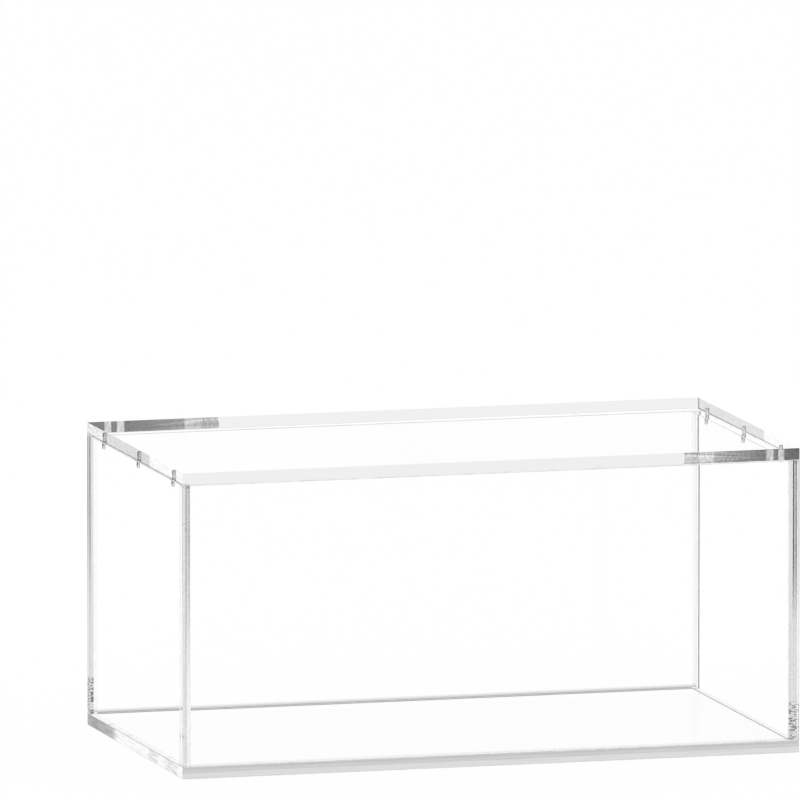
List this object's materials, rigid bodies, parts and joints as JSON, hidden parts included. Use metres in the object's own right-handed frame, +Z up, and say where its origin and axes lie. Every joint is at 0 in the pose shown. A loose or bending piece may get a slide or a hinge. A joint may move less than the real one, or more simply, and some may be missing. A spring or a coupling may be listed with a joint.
{
  "type": "acrylic display case",
  "caption": "Clear acrylic display case: a cemented rectangular tray with a loose flat lid that lies on the walls and is held by rod magnets let into the end walls and the lid.",
  "frame": {"origin": "middle of the underside of the base plate, where the case stands", "axes": "+Z up, +X along the long side to the right seen from the front, -Y is the front"},
  "size_m": [0.32, 0.182, 0.154],
  "materials": {
    "clear_acrylic": "clear cast acrylic sheet with polished edges",
    "plated_magnet": "bright nickel plating"
  },
  "bodies": {
    "case": {"base_plate": "clear_acrylic", "front_panel": "clear_acrylic", "back_panel": "clear_acrylic", "left_end_panel": "clear_acrylic", "right_end_panel": "clear_acrylic", "wall_magnet_left_1": "plated_magnet", "wall_magnet_left_2": "plated_magnet", "wall_magnet_left_3": "plated_magnet", "wall_magnet_right_1": "plated_magnet", "wall_magnet_right_2": "plated_magnet", "wall_magnet_right_3": "plated_magnet"},
    "lid": {"lid_plate": "clear_acrylic", "lid_magnet_left_1": "plated_magnet", "lid_magnet_left_2": "plated_magnet", "lid_magnet_left_3": "plated_magnet", "lid_magnet_right_1": "plated_magnet", "lid_magnet_right_2": "plated_magnet", "lid_magnet_right_3": "plated_magnet"}
  },
  "joints": [
    {"name": "lid_lift", "type": "slide", "parent": "case", "child": "lid", "axis": [0, 0, 1], "range_m": [0, 0.16]}
  ]
}
